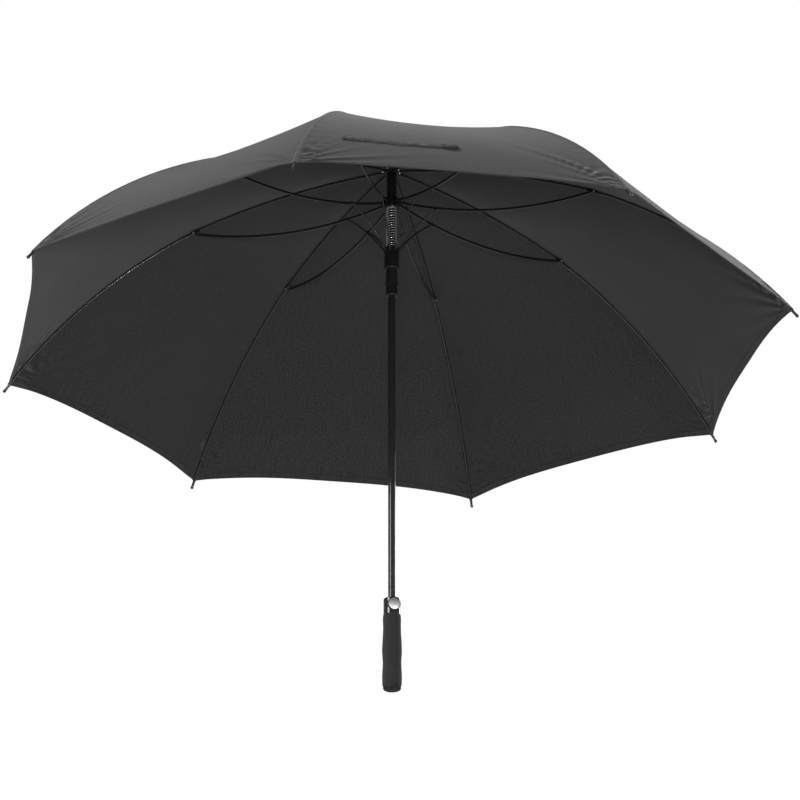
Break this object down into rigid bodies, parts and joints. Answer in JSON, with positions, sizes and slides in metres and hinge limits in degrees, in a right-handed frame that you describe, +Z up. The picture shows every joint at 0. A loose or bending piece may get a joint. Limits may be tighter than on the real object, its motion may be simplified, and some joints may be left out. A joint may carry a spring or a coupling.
{
  "type": "golf umbrella",
  "caption": "Open stick umbrella with a faceted dark canopy, ribs hinged at a top notch, two sliding runners, a push-button housing and a foam grip.",
  "frame": {"origin": "centre of the handle's bottom face, on the shaft's axis", "axes": "+Z up the shaft towards the ferrule; rib 1 points along +X and the others follow every 45 degrees"},
  "size_m": [1.3166, 1.3166, 0.9674],
  "materials": {
    "canopy_fabric": "plain-weave pongee, charcoal",
    "strap_fabric": "folded webbing strap",
    "rib_metal": "black painted spring steel",
    "rib_glassfibre": "black glass-fibre rod",
    "shaft_glassfibre": "black glass-fibre tube with a fine weave",
    "moulded_black": "black moulded nylon",
    "housing_gloss": "gloss black moulded plastic",
    "pin_steel": "bright steel wire",
    "spring_steel": "bright spring wire",
    "button_chrome": "polished chrome",
    "grip_foam": "closed-cell EVA foam",
    "cap_rubber": "black rubber"
  },
  "bodies": {
    "root": {"shaft": "shaft_glassfibre", "ferrule": "moulded_black", "top_cap": "moulded_black", "top_notch": "moulded_black", "notch_pins": "pin_steel", "button_housing": "housing_gloss", "latch_pin": "pin_steel", "button_spring": "spring_steel", "handle_core": "moulded_black", "foam_grip": "grip_foam", "end_cap": "cap_rubber", "canopy_gore_1": "canopy_fabric", "canopy_gore_2": "canopy_fabric", "canopy_gore_3": "canopy_fabric", "canopy_gore_4": "canopy_fabric", "canopy_gore_5": "canopy_fabric", "canopy_gore_6": "canopy_fabric", "canopy_gore_7": "canopy_fabric", "canopy_gore_8": "canopy_fabric", "closing_strap": "strap_fabric", "strap_fastener": "strap_fabric"},
    "lower_runner": {"lower_runner": "moulded_black", "lower_pins": "pin_steel"},
    "upper_runner": {"upper_runner": "moulded_black", "upper_pins": "pin_steel", "opening_spring": "spring_steel"},
    "release_button": {"release_button": "button_chrome"},
    "rib_inner_1": {"rib_inner_1": "rib_metal"},
    "rib_outer_1": {"rib_outer_1": "rib_glassfibre"},
    "stretcher_1": {"stretcher_1": "rib_metal"},
    "strut_1": {"strut_1": "rib_metal"},
    "rib_inner_2": {"rib_inner_2": "rib_metal"},
    "rib_outer_2": {"rib_outer_2": "rib_glassfibre"},
    "stretcher_2": {"stretcher_2": "rib_metal"},
    "strut_2": {"strut_2": "rib_metal"},
    "rib_inner_3": {"rib_inner_3": "rib_metal"},
    "rib_outer_3": {"rib_outer_3": "rib_glassfibre"},
    "stretcher_3": {"stretcher_3": "rib_metal"},
    "strut_3": {"strut_3": "rib_metal"},
    "rib_inner_4": {"rib_inner_4": "rib_metal"},
    "rib_outer_4": {"rib_outer_4": "rib_glassfibre"},
    "stretcher_4": {"stretcher_4": "rib_metal"},
    "strut_4": {"strut_4": "rib_metal"},
    "rib_inner_5": {"rib_inner_5": "rib_metal"},
    "rib_outer_5": {"rib_outer_5": "rib_glassfibre"},
    "stretcher_5": {"stretcher_5": "rib_metal"},
    "strut_5": {"strut_5": "rib_metal"},
    "rib_inner_6": {"rib_inner_6": "rib_metal"},
    "rib_outer_6": {"rib_outer_6": "rib_glassfibre"},
    "stretcher_6": {"stretcher_6": "rib_metal"},
    "strut_6": {"strut_6": "rib_metal"},
    "rib_inner_7": {"rib_inner_7": "rib_metal"},
    "rib_outer_7": {"rib_outer_7": "rib_glassfibre"},
    "stretcher_7": {"stretcher_7": "rib_metal"},
    "strut_7": {"strut_7": "rib_metal"},
    "rib_inner_8": {"rib_inner_8": "rib_metal"},
    "rib_outer_8": {"rib_outer_8": "rib_glassfibre"},
    "stretcher_8": {"stretcher_8": "rib_metal"},
    "strut_8": {"strut_8": "rib_metal"}
  },
  "joints": [
    {"name": "runner_slide", "type": "slide", "parent": "root", "child": "lower_runner", "axis": [0, 0, -1], "range_m": [0, 0.54488], "stiffness_N_per_m": 40, "springref_m": -0.3, "deforming": ["canopy_gore_1", "canopy_gore_2", "canopy_gore_3", "canopy_gore_4", "canopy_gore_5", "canopy_gore_6", "canopy_gore_7", "canopy_gore_8", "closing_strap", "strap_fastener", "opening_spring"]},
    {"name": "upper_slide", "type": "slide", "parent": "root", "child": "upper_runner", "axis": [0, 0, -1], "range_m": [0, 0.60623]},
    {"name": "rib_1_fold", "type": "hinge", "parent": "root", "child": "rib_inner_1", "pos_m": [0.01, 0, 0.9054], "axis": [0, 1, 0], "range_deg": [0, 75.14]},
    {"name": "rib_1_flex", "type": "hinge", "parent": "rib_inner_1", "child": "rib_outer_1", "pos_m": [0.338, 0, 0.8307], "axis": [0, -1, 0], "range_deg": [0, 23.52]},
    {"name": "stretcher_1_fold", "type": "hinge", "parent": "upper_runner", "child": "stretcher_1", "pos_m": [0.0105, 0, 0.8477], "axis": [0, -1, 0], "range_deg": [0, 90.97]},
    {"name": "strut_1_fold", "type": "hinge", "parent": "lower_runner", "child": "strut_1", "pos_m": [0.0105, 0, 0.7584], "axis": [0, -1, 0], "range_deg": [0, 32.39]},
    {"name": "rib_2_fold", "type": "hinge", "parent": "root", "child": "rib_inner_2", "pos_m": [0.00707, 0.00707, 0.9054], "axis": [-0.7071, 0.7071, 0], "range_deg": [0, 75.14]},
    {"name": "rib_2_flex", "type": "hinge", "parent": "rib_inner_2", "child": "rib_outer_2", "pos_m": [0.239, 0.239, 0.8307], "axis": [0.7071, -0.7071, 0], "range_deg": [0, 23.52]},
    {"name": "stretcher_2_fold", "type": "hinge", "parent": "upper_runner", "child": "stretcher_2", "pos_m": [0.00742, 0.00742, 0.8477], "axis": [0.7071, -0.7071, 0], "range_deg": [0, 90.97]},
    {"name": "strut_2_fold", "type": "hinge", "parent": "lower_runner", "child": "strut_2", "pos_m": [0.00742, 0.00742, 0.7584], "axis": [0.7071, -0.7071, 0], "range_deg": [0, 32.39]},
    {"name": "rib_3_fold", "type": "hinge", "parent": "root", "child": "rib_inner_3", "pos_m": [0, 0.01, 0.9054], "axis": [-1, 0, 0], "range_deg": [0, 75.14]},
    {"name": "rib_3_flex", "type": "hinge", "parent": "rib_inner_3", "child": "rib_outer_3", "pos_m": [0, 0.338, 0.8307], "axis": [1, 0, 0], "range_deg": [0, 23.52]},
    {"name": "stretcher_3_fold", "type": "hinge", "parent": "upper_runner", "child": "stretcher_3", "pos_m": [0, 0.0105, 0.8477], "axis": [1, 0, 0], "range_deg": [0, 90.97]},
    {"name": "strut_3_fold", "type": "hinge", "parent": "lower_runner", "child": "strut_3", "pos_m": [0, 0.0105, 0.7584], "axis": [1, 0, 0], "range_deg": [0, 32.39]},
    {"name": "rib_4_fold", "type": "hinge", "parent": "root", "child": "rib_inner_4", "pos_m": [-0.00707, 0.00707, 0.9054], "axis": [-0.7071, -0.7071, 0], "range_deg": [0, 75.14]},
    {"name": "rib_4_flex", "type": "hinge", "parent": "rib_inner_4", "child": "rib_outer_4", "pos_m": [-0.239, 0.239, 0.8307], "axis": [0.7071, 0.7071, 0], "range_deg": [0, 23.52]},
    {"name": "stretcher_4_fold", "type": "hinge", "parent": "upper_runner", "child": "stretcher_4", "pos_m": [-0.00742, 0.00742, 0.8477], "axis": [0.7071, 0.7071, 0], "range_deg": [0, 90.97]},
    {"name": "strut_4_fold", "type": "hinge", "parent": "lower_runner", "child": "strut_4", "pos_m": [-0.00742, 0.00742, 0.7584], "axis": [0.7071, 0.7071, 0], "range_deg": [0, 32.39]},
    {"name": "rib_5_fold", "type": "hinge", "parent": "root", "child": "rib_inner_5", "pos_m": [-0.01, 0, 0.9054], "axis": [0, -1, 0], "range_deg": [0, 75.14]},
    {"name": "rib_5_flex", "type": "hinge", "parent": "rib_inner_5", "child": "rib_outer_5", "pos_m": [-0.338, 0, 0.8307], "axis": [0, 1, 0], "range_deg": [0, 23.52]},
    {"name": "stretcher_5_fold", "type": "hinge", "parent": "upper_runner", "child": "stretcher_5", "pos_m": [-0.0105, 0, 0.8477], "axis": [0, 1, 0], "range_deg": [0, 90.97]},
    {"name": "strut_5_fold", "type": "hinge", "parent": "lower_runner", "child": "strut_5", "pos_m": [-0.0105, 0, 0.7584], "axis": [0, 1, 0], "range_deg": [0, 32.39]},
    {"name": "rib_6_fold", "type": "hinge", "parent": "root", "child": "rib_inner_6", "pos_m": [-0.00707, -0.00707, 0.9054], "axis": [0.7071, -0.7071, 0], "range_deg": [0, 75.14]},
    {"name": "rib_6_flex", "type": "hinge", "parent": "rib_inner_6", "child": "rib_outer_6", "pos_m": [-0.239, -0.239, 0.8307], "axis": [-0.7071, 0.7071, 0], "range_deg": [0, 23.52]},
    {"name": "stretcher_6_fold", "type": "hinge", "parent": "upper_runner", "child": "stretcher_6", "pos_m": [-0.00742, -0.00742, 0.8477], "axis": [-0.7071, 0.7071, 0], "range_deg": [0, 90.97]},
    {"name": "strut_6_fold", "type": "hinge", "parent": "lower_runner", "child": "strut_6", "pos_m": [-0.00742, -0.00742, 0.7584], "axis": [-0.7071, 0.7071, 0], "range_deg": [0, 32.39]},
    {"name": "rib_7_fold", "type": "hinge", "parent": "root", "child": "rib_inner_7", "pos_m": [0, -0.01, 0.9054], "axis": [1, 0, 0], "range_deg": [0, 75.14]},
    {"name": "rib_7_flex", "type": "hinge", "parent": "rib_inner_7", "child": "rib_outer_7", "pos_m": [0, -0.338, 0.8307], "axis": [-1, 0, 0], "range_deg": [0, 23.52]},
    {"name": "stretcher_7_fold", "type": "hinge", "parent": "upper_runner", "child": "stretcher_7", "pos_m": [0, -0.0105, 0.8477], "axis": [-1, 0, 0], "range_deg": [0, 90.97]},
    {"name": "strut_7_fold", "type": "hinge", "parent": "lower_runner", "child": "strut_7", "pos_m": [0, -0.0105, 0.7584], "axis": [-1, 0, 0], "range_deg": [0, 32.39]},
    {"name": "rib_8_fold", "type": "hinge", "parent": "root", "child": "rib_inner_8", "pos_m": [0.00707, -0.00707, 0.9054], "axis": [0.7071, 0.7071, 0], "range_deg": [0, 75.14]},
    {"name": "rib_8_flex", "type": "hinge", "parent": "rib_inner_8", "child": "rib_outer_8", "pos_m": [0.239, -0.239, 0.8307], "axis": [-0.7071, -0.7071, 0], "range_deg": [0, 23.52]},
    {"name": "stretcher_8_fold", "type": "hinge", "parent": "upper_runner", "child": "stretcher_8", "pos_m": [0.00742, -0.00742, 0.8477], "axis": [-0.7071, -0.7071, 0], "range_deg": [0, 90.97]},
    {"name": "strut_8_fold", "type": "hinge", "parent": "lower_runner", "child": "strut_8", "pos_m": [0.00742, -0.00742, 0.7584], "axis": [-0.7071, -0.7071, 0], "range_deg": [0, 32.39]},
    {"name": "release_button_press", "type": "slide", "parent": "root", "child": "release_button", "axis": [-0.4695, 0.8829, 0], "range_m": [0, 0.002], "stiffness_N_per_m": 1200, "springref_m": -0.001, "deforming": ["button_spring"]}
  ],
  "couplings": [
    {"joint": "upper_slide", "follows": "runner_slide", "ratio": 1.1126},
    {"joint": "rib_1_fold", "follows": "runner_slide", "rad_per_m": 2.4064},
    {"joint": "rib_1_flex", "follows": "runner_slide", "rad_per_m": 0.75305},
    {"joint": "stretcher_1_fold", "follows": "runner_slide", "rad_per_m": 2.9136},
    {"joint": "strut_1_fold", "follows": "runner_slide", "rad_per_m": 1.037},
    {"joint": "rib_2_fold", "follows": "runner_slide", "rad_per_m": 2.4064},
    {"joint": "rib_2_flex", "follows": "runner_slide", "rad_per_m": 0.75305},
    {"joint": "stretcher_2_fold", "follows": "runner_slide", "rad_per_m": 2.9136},
    {"joint": "strut_2_fold", "follows": "runner_slide", "rad_per_m": 1.037},
    {"joint": "rib_3_fold", "follows": "runner_slide", "rad_per_m": 2.4064},
    {"joint": "rib_3_flex", "follows": "runner_slide", "rad_per_m": 0.75305},
    {"joint": "stretcher_3_fold", "follows": "runner_slide", "rad_per_m": 2.9136},
    {"joint": "strut_3_fold", "follows": "runner_slide", "rad_per_m": 1.037},
    {"joint": "rib_4_fold", "follows": "runner_slide", "rad_per_m": 2.4064},
    {"joint": "rib_4_flex", "follows": "runner_slide", "rad_per_m": 0.75305},
    {"joint": "stretcher_4_fold", "follows": "runner_slide", "rad_per_m": 2.9136},
    {"joint": "strut_4_fold", "follows": "runner_slide", "rad_per_m": 1.037},
    {"joint": "rib_5_fold", "follows": "runner_slide", "rad_per_m": 2.4064},
    {"joint": "rib_5_flex", "follows": "runner_slide", "rad_per_m": 0.75305},
    {"joint": "stretcher_5_fold", "follows": "runner_slide", "rad_per_m": 2.9136},
    {"joint": "strut_5_fold", "follows": "runner_slide", "rad_per_m": 1.037},
    {"joint": "rib_6_fold", "follows": "runner_slide", "rad_per_m": 2.4064},
    {"joint": "rib_6_flex", "follows": "runner_slide", "rad_per_m": 0.75305},
    {"joint": "stretcher_6_fold", "follows": "runner_slide", "rad_per_m": 2.9136},
    {"joint": "strut_6_fold", "follows": "runner_slide", "rad_per_m": 1.037},
    {"joint": "rib_7_fold", "follows": "runner_slide", "rad_per_m": 2.4064},
    {"joint": "rib_7_flex", "follows": "runner_slide", "rad_per_m": 0.75305},
    {"joint": "stretcher_7_fold", "follows": "runner_slide", "rad_per_m": 2.9136},
    {"joint": "strut_7_fold", "follows": "runner_slide", "rad_per_m": 1.037},
    {"joint": "rib_8_fold", "follows": "runner_slide", "rad_per_m": 2.4064},
    {"joint": "rib_8_flex", "follows": "runner_slide", "rad_per_m": 0.75305},
    {"joint": "stretcher_8_fold", "follows": "runner_slide", "rad_per_m": 2.9136},
    {"joint": "strut_8_fold", "follows": "runner_slide", "rad_per_m": 1.037}
  ]
}
